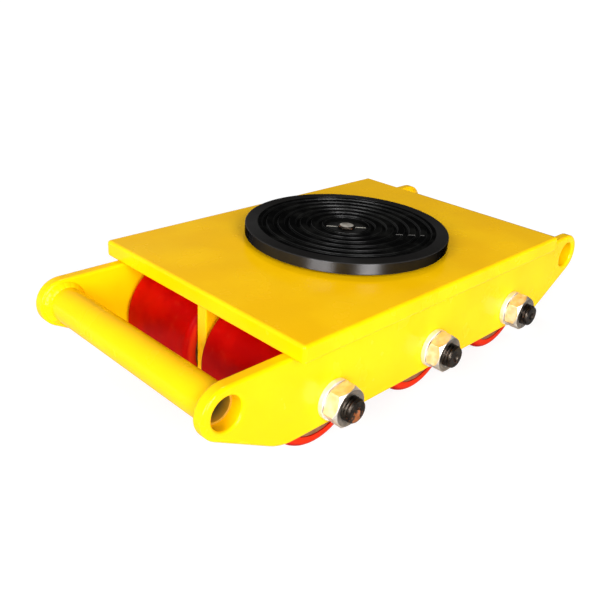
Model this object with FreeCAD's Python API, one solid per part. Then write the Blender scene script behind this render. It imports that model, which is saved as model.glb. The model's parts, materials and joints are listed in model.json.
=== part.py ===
import FreeCAD, Part

import math
import os

from FreeCAD import Vector

# A six-roller machine skate in millimetres. X runs along the travel, with the
# carrying handle at -X, which is the front. Y runs along the axles, with the left
# side at -Y. Z points up from the floor, and the origin lies on the floor under
# the middle axle.

# Rollers: a polyurethane tread on a steel core
roller_diameter = 87.0
roller_length = 78.0
tread_thickness = 8.5
tread_edge_radius = 5.5
core_recess = 1.0
axle_spacing = 112.0
roller_end_gap = 2.0
roller_top_gap = 2.0

# Roller bearings: sealed deep groove, held by internal circlips
bearing_bore_diameter = 20.0
bearing_outside_diameter = 47.0
bearing_width = 14.0
bearing_ball_count = 8
bearing_ball_share = 0.585
bearing_wall_share = 0.32
ball_clearance = 0.05
seal_thickness = 0.6
seal_gap = 0.3
circlip_thickness = 1.8
circlip_setback = 1.2
circlip_groove_depth = 1.2
circlip_height = 3.2
circlip_opening_degrees = 40.0
core_shoulder = 3.0

# Axles, their spacers and their fasteners
axle_hole_clearance = 0.15
spacer_clearance = 0.05
spacer_wall = 3.5
axle_shoulder_set_in = 0.5
thread_diameter = 18.0
thread_pitch = 2.5
thread_depth_share = 0.54
thread_end_chamfer = 1.2
thread_proud = 5.5
centre_drill_diameter = 7.0
centre_drill_depth = 3.5
nut_across_flats = 27.0
nut_height = 12.0
nut_bore_clearance = 0.05
nut_chamfer_degrees = 30.0
nut_turns_degrees = (10.0, 22.0, 24.0)
washer_outside_diameter = 30.0
washer_bore_clearance = 0.5
washer_thickness = 4.0

# Welded frame: deck, side plates, centre plate and cross tubes
deck_past_axle = 43.0
deck_thickness = 13.0
deck_overhang = 11.0
deck_edge_radius = 2.5
side_plate_thickness = 10.0
side_plate_below_axle = 19.0
side_plate_foot_past_axle = 46.0
side_plate_foot_radius = 45.0
plate_edge_radius = 2.5
centre_plate_thickness = 10.0
centre_plate_past_axle = 35.0
centre_plate_edge_radius = 1.0
tube_past_axle = 91.5
tube_outside_diameter = 26.0
tube_wall = 3.0
lug_rim = 5.5
lug_hole_step = 1.5
lug_hole_edge_radius = 2.0
tube_weld_leg = 4.0
deck_weld_leg = 5.0
deck_weld_end_margin = 8.0
centre_weld_leg = 3.0
centre_weld_end_margin = 12.0
weld_bulge_share = 0.56

# Turntable: a steel disc with a ribbed rubber pad, turning on a ball ring
turntable_diameter = 164.0
turntable_thickness = 9.2
turntable_gap = 3.0
turntable_edge_radius = 1.0
lip_width = 10.0
pad_recess_depth = 3.5
pad_side_clearance = 0.2
pad_hole_diameter = 36.0
pad_groove_count = 6
pad_groove_pitch = 9.0
pad_groove_width = 3.5
pad_groove_depth = 1.8
pad_outer_band = 3.5
hub_diameter = 46.0
hub_depth = 5.0
hub_pocket_clearance = 0.5
hub_floor_gap = 1.0
centre_recess_diameter = 34.0
thrust_pitch_diameter = 84.0
thrust_race_width = 16.0
thrust_race_thickness = 3.0
thrust_pocket_clearance = 0.1
thrust_ball_diameter = 6.0
thrust_ball_count = 18
thrust_cage_width = 10.0
thrust_cage_thickness = 1.2
thrust_cage_clearance = 0.1

# Turntable pivot: a fixed post, a pressed bush, a keeper washer and a bolt
post_diameter = 24.0
post_rise = 7.6
bush_wall = 2.0
bush_clearance = 0.05
keeper_play = 0.3
keeper_diameter = 33.0
keeper_thickness = 1.6
bolt_diameter = 8.0
bolt_length = 12.0
bolt_bore_clearance = 0.05
bolt_hole_overrun = 2.0
bolt_across_flats = 13.0
bolt_head_height = 2.6
bolt_turn_degrees = 15.0

# One overrun serves every cut, and one tolerance every choice of edges
cut_overrun = 1.0
edge_tolerance = 0.001

# Heights
roller_radius = roller_diameter / 2
axle_z = roller_radius
deck_bottom_z = roller_diameter + roller_top_gap
deck_top_z = deck_bottom_z + deck_thickness
tube_z = deck_bottom_z - tube_outside_diameter / 2 - lug_rim
plate_bottom_z = axle_z - side_plate_below_axle
turntable_bottom_z = deck_top_z + turntable_gap
turntable_top_z = turntable_bottom_z + turntable_thickness
pad_bottom_z = turntable_top_z - pad_recess_depth
hub_bottom_z = deck_top_z - hub_depth
hub_pocket_z = hub_bottom_z - hub_floor_gap
post_top_z = deck_top_z + post_rise
hub_top_z = post_top_z - keeper_play
bolt_seat_z = post_top_z + keeper_thickness
thrust_ball_z = deck_top_z + turntable_gap / 2

# Lengths along the skate, from how far each piece reaches past the outer axles
deck_length = 2 * (axle_spacing + deck_past_axle)
side_plate_foot_length = 2 * (axle_spacing + side_plate_foot_past_axle)
centre_plate_length = 2 * (axle_spacing + centre_plate_past_axle)
tube_spacing = 2 * (axle_spacing + tube_past_axle)

# Places across the skate
centre_face_y = centre_plate_thickness / 2
roller_centre_y = centre_face_y + roller_end_gap + roller_length / 2
plate_inner_y = centre_face_y + roller_end_gap + roller_length + roller_end_gap
plate_outer_y = plate_inner_y + side_plate_thickness
deck_half_width = plate_outer_y + deck_overhang
axle_shoulder_y = plate_outer_y - axle_shoulder_set_in
nut_inner_y = plate_outer_y + washer_thickness
nut_outer_y = nut_inner_y + nut_height
axle_end_y = nut_outer_y + thread_proud

# Roller and bearing radii, and places along a roller from its middle
core_radius = roller_radius - tread_thickness
core_half_length = roller_length / 2 - core_recess
axle_radius = bearing_bore_diameter / 2
seat_radius = bearing_outside_diameter / 2
bearing_section = seat_radius - axle_radius
bearing_wall = bearing_section * bearing_wall_share
bearing_ball_radius = bearing_section * bearing_ball_share / 2
bearing_pitch_radius = axle_radius + bearing_section / 2
inner_ring_radius = axle_radius + bearing_wall
outer_ring_bore = seat_radius - bearing_wall
circlip_outer_offset = core_half_length - circlip_setback
bearing_outer_offset = circlip_outer_offset - circlip_thickness
bearing_inner_offset = bearing_outer_offset - bearing_width
bearing_middle_offset = bearing_outer_offset - bearing_width / 2
plate_offset = roller_length / 2 + roller_end_gap
spacer_bore = axle_radius + spacer_clearance
spacer_radius = axle_radius + spacer_wall

lug_radius = tube_outside_diameter / 2 + lug_rim
tube_bore_radius = tube_outside_diameter / 2 - tube_wall
lug_hole_radius = tube_bore_radius + lug_hole_step
thrust_pitch_radius = thrust_pitch_diameter / 2
thrust_race_inner = thrust_pitch_radius - thrust_race_width / 2
thrust_race_outer = thrust_pitch_radius + thrust_race_width / 2
bush_radius = post_diameter / 2 + bush_clearance + bush_wall

along_y = Vector(0, 1, 0)
along_z = Vector(0, 0, 1)

axle_places = {"front": -axle_spacing, "middle": 0.0, "rear": axle_spacing}
side_signs = {"left": -1, "right": 1}


def rod_y(radius, length, x, y, z):
    """A round bar along +Y that starts at the given point."""
    return Part.makeCylinder(radius, length, Vector(x, y, z), along_y)


def ring_y(outer, inner, length, x, y, z):
    """A plain ring along +Y that starts at the given point."""
    bore = rod_y(inner, length + 2 * cut_overrun, x, y - cut_overrun, z)
    return rod_y(outer, length, x, y, z).cut(bore)


def rod_z(radius, z_low, z_high):
    """A round bar on the turntable's axis between two heights."""
    return Part.makeCylinder(radius, z_high - z_low, Vector(0, 0, z_low), along_z)


def ring_z(outer, inner, z_low, z_high):
    """A plain ring on the turntable's axis between two heights."""
    bore = rod_z(inner, z_low - cut_overrun, z_high + cut_overrun)
    return rod_z(outer, z_low, z_high).cut(bore)


def turned_y(profile, x, z):
    """A solid turned about an axle line from (radius, place along Y) points."""
    points = [Vector(x + radius, place, z) for radius, place in profile]
    face = Part.Face(Part.makePolygon(points + points[:1]))
    return face.revolve(Vector(x, 0, z), along_y, 360)


def turned_z(profile):
    """A solid turned about the turntable's axis from (radius, height) points."""
    points = [Vector(radius, 0, height) for radius, height in profile]
    face = Part.Face(Part.makePolygon(points + points[:1]))
    return face.revolve(Vector(0, 0, 0), along_z, 360)


def circle_edges(shape, radius):
    """The shape's round edges of one radius."""
    edges = [edge for edge in shape.Edges if isinstance(edge.Curve, Part.Circle)]
    return [edge for edge in edges if abs(edge.Curve.Radius - radius) < edge_tolerance]


def hexagon_prism(across_flats, height, turn_degrees):
    """A hexagon bar from the XY plane upwards, with one corner at the turn angle."""
    corner_radius = across_flats / math.sqrt(3)
    angles = [math.radians(turn_degrees + 60 * side) for side in range(6)]
    points = [Vector(corner_radius * math.cos(a), corner_radius * math.sin(a), 0) for a in angles]
    return Part.Face(Part.makePolygon(points + points[:1])).extrude(Vector(0, 0, height))


def chamfered_hexagon(across_flats, height, turn_degrees, both_ends):
    """A hexagon with the round bevel that a turned nut or bolt head has."""
    flat_radius = across_flats / 2
    corner_radius = across_flats / math.sqrt(3)
    drop = (corner_radius - flat_radius) * math.tan(math.radians(nut_chamfer_degrees))
    low_radius = flat_radius if both_ends else corner_radius
    profile = [(0, 0), (low_radius, 0), (corner_radius, drop)]
    profile += [(corner_radius, height - drop), (flat_radius, height), (0, height)]
    return hexagon_prism(across_flats, height, turn_degrees).common(turned_z(profile))


def fillet_weld_profile(leg):
    """A weld's section in a corner at the origin, with legs along its two axes."""
    bulge = leg * weld_bulge_share
    start = Vector(0, leg, 0)
    finish = Vector(leg, 0, 0)
    bead = Part.Arc(start, Vector(bulge, bulge, 0), finish).toShape()
    corner = Vector(0, 0, 0)
    sides = [Part.makeLine(corner, start), bead, Part.makeLine(finish, corner)]
    return Part.Face(Part.Wire(sides))


def deck_plate():
    """The load plate, with seats for the turntable's ball ring, hub and post."""
    deck = Part.makeBox(deck_length, 2 * deck_half_width, deck_thickness,
                        Vector(-deck_length / 2, -deck_half_width, deck_bottom_z))
    deck = deck.makeFillet(deck_edge_radius, deck.Edges)
    race_floor = deck_top_z - thrust_race_thickness
    deck = deck.cut(ring_z(thrust_race_outer + thrust_pocket_clearance,
                           thrust_race_inner - thrust_pocket_clearance,
                           race_floor, deck_top_z + cut_overrun))
    deck = deck.cut(rod_z(hub_diameter / 2 + hub_pocket_clearance, hub_pocket_z, deck_top_z + cut_overrun))
    return deck.cut(rod_z(post_diameter / 2, deck_bottom_z - cut_overrun, deck_top_z))


def side_plate_face(y):
    """The outline of a side plate: a straight top, two round lugs and a low belly."""
    lug_x = tube_spacing / 2
    foot_x = side_plate_foot_length / 2
    reach = math.hypot(lug_x - foot_x, tube_z - plate_bottom_z)
    slope = math.atan2(tube_z - plate_bottom_z, lug_x - foot_x) - math.asin(lug_radius / reach)
    run = math.sqrt(reach ** 2 - lug_radius ** 2)
    tangent_x = foot_x + run * math.cos(slope)
    tangent_z = plate_bottom_z + run * math.sin(slope)
    top_z = tube_z + lug_radius
    tip_x = lug_x + lug_radius

    def at(x, z):
        return Vector(x, y, z)

    edges = [
        Part.makeLine(at(-lug_x, top_z), at(lug_x, top_z)),
        Part.Arc(at(lug_x, top_z), at(tip_x, tube_z), at(tangent_x, tangent_z)).toShape(),
        Part.makeLine(at(tangent_x, tangent_z), at(foot_x, plate_bottom_z)),
        Part.makeLine(at(foot_x, plate_bottom_z), at(-foot_x, plate_bottom_z)),
        Part.makeLine(at(-foot_x, plate_bottom_z), at(-tangent_x, tangent_z)),
        Part.Arc(at(-tangent_x, tangent_z), at(-tip_x, tube_z), at(-lug_x, top_z)).toShape(),
    ]
    return Part.Face(Part.Wire(edges))


def side_plate(sign):
    """One side plate, with axle holes and with lug holes that line up with the tubes."""
    low_y = plate_inner_y if sign > 0 else -plate_outer_y
    plate = side_plate_face(low_y).extrude(Vector(0, side_plate_thickness, 0))
    foot_edges = [edge for edge in plate.Edges
                  if abs(edge.BoundBox.ZMax - plate_bottom_z) < edge_tolerance
                  and edge.BoundBox.XLength < edge_tolerance]
    plate = plate.makeFillet(side_plate_foot_radius, foot_edges)
    outline = [edge for edge in plate.Edges if edge.BoundBox.YLength < edge_tolerance]
    plate = plate.makeFillet(plate_edge_radius, outline)
    drill_length = side_plate_thickness + 2 * cut_overrun
    for x in axle_places.values():
        plate = plate.cut(rod_y(axle_radius + axle_hole_clearance, drill_length, x, low_y - cut_overrun, axle_z))
    for x in (-tube_spacing / 2, tube_spacing / 2):
        plate = plate.cut(rod_y(lug_hole_radius, drill_length, x, low_y - cut_overrun, tube_z))
    lips = [edge for edge in circle_edges(plate, lug_hole_radius)
            if abs(abs(edge.CenterOfMass.y) - plate_outer_y) < edge_tolerance]
    return plate.makeFillet(lug_hole_edge_radius, lips)


def centre_plate():
    """The web between the two rows of rollers, which props the axles at mid-span."""
    height = deck_bottom_z - plate_bottom_z
    web = Part.makeBox(centre_plate_length, centre_plate_thickness, height,
                       Vector(-centre_plate_length / 2, -centre_face_y, plate_bottom_z))
    low_edges = [edge for edge in web.Edges if edge.BoundBox.ZMin < plate_bottom_z + edge_tolerance]
    web = web.makeFillet(centre_plate_edge_radius, low_edges)
    for x in axle_places.values():
        web = web.cut(rod_y(axle_radius + axle_hole_clearance, centre_plate_thickness + 2 * cut_overrun,
                            x, -centre_face_y - cut_overrun, axle_z))
    return web


def cross_tube(x):
    """A tube between the side plates' lugs: a carrying handle and a tie."""
    return ring_y(tube_outside_diameter / 2, tube_bore_radius, 2 * plate_inner_y, x, -plate_inner_y, tube_z)


def tube_weld(x, sign):
    """The ring of weld at one end of a cross tube."""
    profile = fillet_weld_profile(tube_weld_leg)
    bead = profile.revolve(Vector(-tube_outside_diameter / 2, 0, 0), along_y, 360)
    if sign > 0:
        bead = bead.mirror(Vector(0, 0, 0), along_y)
    bead.translate(Vector(x + tube_outside_diameter / 2, sign * plate_inner_y, tube_z))
    return bead


def straight_weld(leg, length, y, sign):
    """A run of weld under the deck, along X, against a plate face that points to the sign's side."""
    run = fillet_weld_profile(leg).extrude(Vector(0, 0, length))
    run.rotate(Vector(0, 0, 0), Vector(1, 0, 0), 90)
    run.rotate(Vector(0, 0, 0), along_z, 90)
    run.rotate(Vector(0, 0, 0), Vector(1, 0, 0), -90 if sign > 0 else 180)
    run.translate(Vector(-run.BoundBox.Center.x, 0, 0))
    run.translate(Vector(0, y, deck_bottom_z))
    return run


def weld_beads():
    """Every weld of the frame: tube rings, deck to side plates, deck to centre plate."""
    beads = [tube_weld(x, sign) for x in (-tube_spacing / 2, tube_spacing / 2) for sign in side_signs.values()]
    for sign in side_signs.values():
        deck_run = deck_length - 2 * deck_weld_end_margin
        beads.append(straight_weld(deck_weld_leg, deck_run, sign * plate_outer_y, sign))
        centre_run = centre_plate_length - 2 * centre_weld_end_margin
        beads.append(straight_weld(centre_weld_leg, centre_run, sign * centre_face_y, sign))
    return Part.makeCompound(beads)


def axle(x):
    """A plain shaft with a threaded, centre-drilled stud at each end."""
    stud_radius = thread_diameter / 2
    root_radius = stud_radius - thread_pitch * thread_depth_share
    drill_radius = centre_drill_diameter / 2
    thread_length = axle_end_y - axle_shoulder_y - thread_end_chamfer
    ridges = int(thread_length // thread_pitch)
    first_ridge = axle_end_y - thread_end_chamfer - ridges * thread_pitch
    half = [(axle_radius, axle_shoulder_y), (stud_radius, axle_shoulder_y), (stud_radius, first_ridge)]
    for ridge in range(ridges):
        start = first_ridge + ridge * thread_pitch
        half.append((root_radius, start + thread_pitch / 2))
        half.append((stud_radius, start + thread_pitch))
    half.append((stud_radius - thread_end_chamfer, axle_end_y))
    half.append((drill_radius, axle_end_y))
    half.append((0, axle_end_y - centre_drill_depth))
    mirrored = [(radius, -place) for radius, place in reversed(half)]
    return turned_y(half + mirrored, x, axle_z)


def on_stud(solid, x, y, sign):
    """Moves a fastener from the XY plane onto an axle's end, facing outwards."""
    solid.rotate(Vector(0, 0, 0), Vector(1, 0, 0), -90 if sign > 0 else 90)
    solid.translate(Vector(x, sign * y, axle_z))
    return solid


def axle_nuts():
    """Six hexagon nuts, each left at its own angle by the spanner."""
    nuts = []
    for x, turn in zip(axle_places.values(), nut_turns_degrees):
        for sign in side_signs.values():
            nut = chamfered_hexagon(nut_across_flats, nut_height, turn, True)
            nut = nut.cut(rod_z(thread_diameter / 2 + nut_bore_clearance, -cut_overrun, nut_height + cut_overrun))
            nuts.append(on_stud(nut, x, nut_inner_y, sign))
    return Part.makeCompound(nuts)


def axle_washers():
    """Six flat washers between the nuts and the side plates."""
    bore = thread_diameter / 2 + washer_bore_clearance
    rings = []
    for x in axle_places.values():
        for sign in side_signs.values():
            ring = ring_z(washer_outside_diameter / 2, bore, 0, washer_thickness)
            rings.append(on_stud(ring, x, plate_outer_y, sign))
    return Part.makeCompound(rings)


def end_spacers():
    """Sleeves on the axles that keep each roller off the plates beside it."""
    length = plate_offset - bearing_outer_offset
    sleeves = []
    for x in axle_places.values():
        for sign in side_signs.values():
            middle = sign * roller_centre_y
            sleeves.append(ring_y(spacer_radius, spacer_bore, length, x, middle - plate_offset, axle_z))
            sleeves.append(ring_y(spacer_radius, spacer_bore, length, x, middle + bearing_outer_offset, axle_z))
    return Part.makeCompound(sleeves)


def bearing_spacers():
    """Sleeves on the axles between the two inner rings inside each roller."""
    sleeves = [ring_y(spacer_radius, spacer_bore, 2 * bearing_inner_offset, x,
                      sign * roller_centre_y - bearing_inner_offset, axle_z)
               for x in axle_places.values() for sign in side_signs.values()]
    return Part.makeCompound(sleeves)


def ball_track(x, y):
    """The round track that a bearing's balls run in."""
    return Part.makeTorus(bearing_pitch_radius, bearing_ball_radius + ball_clearance, Vector(x, y, axle_z), along_y)


def bearing_middles(sign):
    """Where the middles of a roller's two bearings lie along Y."""
    middle = sign * roller_centre_y
    return (middle - bearing_middle_offset, middle + bearing_middle_offset)


def bearing_inner_rings():
    """The inner rings, which stand still on the axles."""
    rings = []
    for x in axle_places.values():
        for sign in side_signs.values():
            for y in bearing_middles(sign):
                ring = ring_y(inner_ring_radius, spacer_bore, bearing_width, x, y - bearing_width / 2, axle_z)
                rings.append(ring.cut(ball_track(x, y)))
    return Part.makeCompound(rings)


def roller_tread(x, sign):
    """The polyurethane tyre, with rounded shoulders."""
    start = sign * roller_centre_y - roller_length / 2
    tyre = ring_y(roller_radius, core_radius, roller_length, x, start, axle_z)
    return tyre.makeFillet(tread_edge_radius, circle_edges(tyre, roller_radius))


def roller_core(x, sign):
    """The steel core, bored for two bearings and grooved for their circlips."""
    middle = sign * roller_centre_y
    groove_radius = seat_radius + circlip_groove_depth
    relief_radius = seat_radius - core_shoulder
    half = [(core_radius, core_half_length), (seat_radius, core_half_length),
            (seat_radius, circlip_outer_offset), (groove_radius, circlip_outer_offset),
            (groove_radius, bearing_outer_offset), (seat_radius, bearing_outer_offset),
            (seat_radius, bearing_inner_offset), (relief_radius, bearing_inner_offset)]
    mirrored = [(radius, -place) for radius, place in reversed(half)]
    profile = [(radius, middle + place) for radius, place in half + mirrored]
    return turned_y(profile, x, axle_z)


def roller_outer_rings(x, sign):
    """The two outer rings, pressed into the core."""
    rings = []
    for y in bearing_middles(sign):
        ring = ring_y(seat_radius, outer_ring_bore, bearing_width, x, y - bearing_width / 2, axle_z)
        rings.append(ring.cut(ball_track(x, y)))
    return Part.makeCompound(rings)


def roller_balls(x, sign):
    """The balls of both bearings."""
    balls = []
    for y in bearing_middles(sign):
        for index in range(bearing_ball_count):
            angle = math.radians(360 / bearing_ball_count * index)
            place = Vector(x + bearing_pitch_radius * math.cos(angle), y,
                           axle_z + bearing_pitch_radius * math.sin(angle))
            balls.append(Part.makeSphere(bearing_ball_radius, place))
    return Part.makeCompound(balls)


def roller_seals(x, sign):
    """A lip seal in each side of each bearing."""
    seals = []
    inner = inner_ring_radius + seal_gap
    for y in bearing_middles(sign):
        for start in (y - bearing_width / 2, y + bearing_width / 2 - seal_thickness):
            seals.append(ring_y(outer_ring_bore, inner, seal_thickness, x, start, axle_z))
    return Part.makeCompound(seals)


def roller_circlips(x, sign):
    """The open spring rings that keep the bearings in the core."""
    middle = sign * roller_centre_y
    outer = seat_radius + circlip_groove_depth
    inner = outer - circlip_height
    clips = []
    for start in (middle - circlip_outer_offset, middle + bearing_outer_offset):
        disc = Part.makeCylinder(outer, circlip_thickness, Vector(x, start, axle_z), along_y,
                                 360 - circlip_opening_degrees)
        bore = rod_y(inner, circlip_thickness + 2 * cut_overrun, x, start - cut_overrun, axle_z)
        clips.append(disc.cut(bore))
    return Part.makeCompound(clips)


def turntable_disc():
    """The steel turntable with its hub, a lip round the pad and a seat for the ball ring."""
    rim_radius = turntable_diameter / 2
    lip_radius = rim_radius - lip_width
    race_roof = turntable_bottom_z + thrust_race_thickness
    recess_radius = centre_recess_diameter / 2
    hub_radius = hub_diameter / 2
    profile = [(bush_radius, hub_bottom_z), (hub_radius, hub_bottom_z), (hub_radius, turntable_bottom_z),
               (thrust_race_inner, turntable_bottom_z), (thrust_race_inner, race_roof),
               (thrust_race_outer, race_roof), (thrust_race_outer, turntable_bottom_z),
               (rim_radius, turntable_bottom_z), (rim_radius, turntable_top_z),
               (lip_radius, turntable_top_z), (lip_radius, pad_bottom_z),
               (recess_radius, pad_bottom_z), (recess_radius, hub_top_z), (bush_radius, hub_top_z)]
    disc = turned_z(profile)
    return disc.makeFillet(turntable_edge_radius, circle_edges(disc, rim_radius))


def turntable_pad():
    """The ribbed rubber pad that grips the load."""
    outer = turntable_diameter / 2 - lip_width - pad_side_clearance
    pad = ring_z(outer, pad_hole_diameter / 2, pad_bottom_z, turntable_top_z)
    groove_floor = turntable_top_z - pad_groove_depth
    for index in range(pad_groove_count):
        groove_outer = outer - pad_outer_band - index * pad_groove_pitch
        pad = pad.cut(ring_z(groove_outer, groove_outer - pad_groove_width,
                             groove_floor, turntable_top_z + cut_overrun))
    return pad


def thrust_track():
    """The round track that the turntable's balls run in."""
    return Part.makeTorus(thrust_pitch_radius, thrust_ball_diameter / 2 + ball_clearance,
                          Vector(0, 0, thrust_ball_z), along_z)


def thrust_race(z_low):
    """One grooved race of the ball ring."""
    ring = ring_z(thrust_race_outer, thrust_race_inner, z_low, z_low + thrust_race_thickness)
    return ring.cut(thrust_track())


def thrust_places():
    """Where the turntable's balls lie at rest."""
    step = math.radians(360 / thrust_ball_count)
    return [Vector(thrust_pitch_radius * math.cos(index * step),
                   thrust_pitch_radius * math.sin(index * step), thrust_ball_z)
            for index in range(thrust_ball_count)]


def thrust_cage():
    """The flat cage that spaces the turntable's balls."""
    cage_low = thrust_ball_z - thrust_cage_thickness / 2
    cage_high = thrust_ball_z + thrust_cage_thickness / 2
    cage = ring_z(thrust_pitch_radius + thrust_cage_width / 2,
                  thrust_pitch_radius - thrust_cage_width / 2, cage_low, cage_high)
    pocket_radius = thrust_ball_diameter / 2 + thrust_cage_clearance
    for place in thrust_places():
        pocket = rod_z(pocket_radius, cage_low - cut_overrun, cage_high + cut_overrun)
        pocket.translate(Vector(place.x, place.y, 0))
        cage = cage.cut(pocket)
    return cage


def thrust_balls():
    """The balls that carry the load from the turntable to the deck."""
    return Part.makeCompound([Part.makeSphere(thrust_ball_diameter / 2, place) for place in thrust_places()])


def pivot_post():
    """The post pressed into the deck that the turntable turns about, tapped for its bolt."""
    post = rod_z(post_diameter / 2, deck_bottom_z, post_top_z)
    hole_floor = bolt_seat_z - bolt_length - bolt_hole_overrun
    return post.cut(rod_z(bolt_diameter / 2 + bolt_bore_clearance, hole_floor, post_top_z + cut_overrun))


def pivot_bush():
    """The bronze bush pressed into the turntable's hub."""
    return ring_z(bush_radius, post_diameter / 2 + bush_clearance, hub_bottom_z, hub_top_z)


def pivot_washer():
    """The keeper washer that stops the turntable from lifting off its post."""
    return ring_z(keeper_diameter / 2, bolt_diameter / 2 + bolt_bore_clearance, post_top_z, bolt_seat_z)


def pivot_bolt():
    """The hexagon bolt at the middle of the turntable."""
    head = chamfered_hexagon(bolt_across_flats, bolt_head_height, bolt_turn_degrees, False)
    head.translate(Vector(0, 0, bolt_seat_z))
    return head.fuse(rod_z(bolt_diameter / 2, bolt_seat_z - bolt_length, bolt_seat_z)).removeSplitter()


def all_nodes():
    """Every node's name and shape."""
    nodes = {
        "deck_plate": deck_plate(),
        "side_plate_left": side_plate(side_signs["left"]),
        "side_plate_right": side_plate(side_signs["right"]),
        "centre_plate": centre_plate(),
        "front_handle_tube": cross_tube(-tube_spacing / 2),
        "rear_tie_tube": cross_tube(tube_spacing / 2),
        "weld_beads": weld_beads(),
        "axles": Part.makeCompound([axle(x) for x in axle_places.values()]),
        "axle_nuts": axle_nuts(),
        "axle_washers": axle_washers(),
        "end_spacers": end_spacers(),
        "bearing_spacers": bearing_spacers(),
        "bearing_inner_rings": bearing_inner_rings(),
        "pivot_post": pivot_post(),
        "pivot_washer": pivot_washer(),
        "pivot_bolt": pivot_bolt(),
        "thrust_race_lower": thrust_race(deck_top_z - thrust_race_thickness),
        "turntable_disc": turntable_disc(),
        "turntable_pad": turntable_pad(),
        "pivot_bush": pivot_bush(),
        "thrust_race_upper": thrust_race(turntable_bottom_z),
        "thrust_cage": thrust_cage(),
        "thrust_balls": thrust_balls(),
    }
    for row, x in axle_places.items():
        for side, sign in side_signs.items():
            nodes[f"tread_{row}_{side}"] = roller_tread(x, sign)
            nodes[f"core_{row}_{side}"] = roller_core(x, sign)
            nodes[f"outer_rings_{row}_{side}"] = roller_outer_rings(x, sign)
            nodes[f"balls_{row}_{side}"] = roller_balls(x, sign)
            nodes[f"seals_{row}_{side}"] = roller_seals(x, sign)
            nodes[f"circlips_{row}_{side}"] = roller_circlips(x, sign)
    return nodes


os.makedirs("parts", exist_ok=True)
for name, shape in all_nodes().items():
    shape.exportStep(f"parts/{name}.step")
    print(name, len(shape.Solids), round(shape.Volume), shape.isValid())
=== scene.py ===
"""Looks of a six-roller machine skate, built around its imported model.

Sizes are in millimetres unless a name or comment says otherwise. Blender itself works in metres.
"""

import functools
import json
import logging
import math
import random
from collections.abc import Callable, Iterable
from dataclasses import dataclass
from enum import Enum
from typing import Any

import bmesh
import bpy
from mathutils import Matrix, Vector


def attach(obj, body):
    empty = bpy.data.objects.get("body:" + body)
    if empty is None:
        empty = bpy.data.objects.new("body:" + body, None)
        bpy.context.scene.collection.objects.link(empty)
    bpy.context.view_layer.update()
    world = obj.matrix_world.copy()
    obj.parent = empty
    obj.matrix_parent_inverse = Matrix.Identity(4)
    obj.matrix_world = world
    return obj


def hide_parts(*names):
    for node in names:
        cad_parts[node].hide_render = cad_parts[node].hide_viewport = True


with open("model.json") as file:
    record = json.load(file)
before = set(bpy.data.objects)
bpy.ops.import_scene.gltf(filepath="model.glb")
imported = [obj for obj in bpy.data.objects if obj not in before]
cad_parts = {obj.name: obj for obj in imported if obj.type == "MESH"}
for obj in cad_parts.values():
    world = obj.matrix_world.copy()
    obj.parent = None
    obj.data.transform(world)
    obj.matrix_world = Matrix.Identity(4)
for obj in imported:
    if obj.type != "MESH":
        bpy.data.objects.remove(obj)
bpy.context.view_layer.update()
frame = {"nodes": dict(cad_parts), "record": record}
MM = 0.001
# Points of a mesh within this distance become one
MERGED = 0.001
# Two sizes within this distance count as the same
SAME = 0.01
# Edges sharper than this angle, in degrees, stay sharp in the shading
SHARP = 42.0

logging.basicConfig(level=logging.INFO, format="%(levelname)s %(message)s")
log = logging.getLogger("machine_skate")

Point = tuple[float, float, float]
Socket = bpy.types.NodeSocket


class Slot(Enum):
    """The record's material slots."""

    ENAMEL = "yellow_enamel"
    TREAD = "red_polyurethane"
    RUBBER = "black_rubber"
    BLACK = "black_steel"
    ZINC = "zinc_steel"
    OXIDE = "black_oxide_steel"
    TURNED = "turned_steel"
    GROUND = "bearing_steel"
    SEAL = "black_seal"
    BRONZE = "bronze"


class Row(Enum):
    """The three axles from the handle end: name, place in the row and the angle of the nuts."""

    FRONT = ("front", -1, 10.0)
    MIDDLE = ("middle", 0, 22.0)
    REAR = ("rear", 1, 24.0)

    def __init__(self, label: str, step: int, nut_turn: float) -> None:
        """Keeps the row's values by name."""
        self.label = label
        self.step = step
        self.nut_turn = nut_turn


class Side(Enum):
    """The two rows of rollers, with the sign of Y on each side."""

    LEFT = -1
    RIGHT = 1

    @property
    def label(self) -> str:
        """The side's name in the model's nodes and bodies."""
        return self.name.lower()


class Axis(Enum):
    """An axis to turn an outline about."""

    Y = (0.0, 1.0, 0.0)
    Z = (0.0, 0.0, 1.0)

    def spoke(self, degrees: float) -> Vector:
        """The direction away from the axis at an angle, counted from +X."""
        angle = math.radians(degrees)
        if self is Axis.Y:
            return Vector((math.cos(angle), 0, math.sin(angle)))
        return Vector((math.cos(angle), math.sin(angle), 0))

    def polar(self, away: Vector) -> tuple[float, float, float]:
        """Gives a point's distance from the axis, its angle in degrees and its place along the axis."""
        first, second = away.dot(self.spoke(0)), away.dot(self.spoke(90))
        angle = math.degrees(math.atan2(second, first))
        return math.hypot(first, second), angle, away.dot(Vector(self.value))


def linear(code: str) -> tuple[float, float, float, float]:
    """Turns an sRGB hex colour into linear RGBA.

    Args:
        code: A colour such as "#FFAA00".

    Returns:
        Four numbers from 0 to 1.
    """
    parts = [int(code[i:i + 2], 16) / 255 for i in (1, 3, 5)]
    red, green, blue = [p / 12.92 if p <= 0.04045 else ((p + 0.055) / 1.055) ** 2.4 for p in parts]
    return red, green, blue, 1.0


def per_metre(size: float) -> float:
    """The texture scale that gives a pattern of this size."""
    return 1 / (size * MM)


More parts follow.
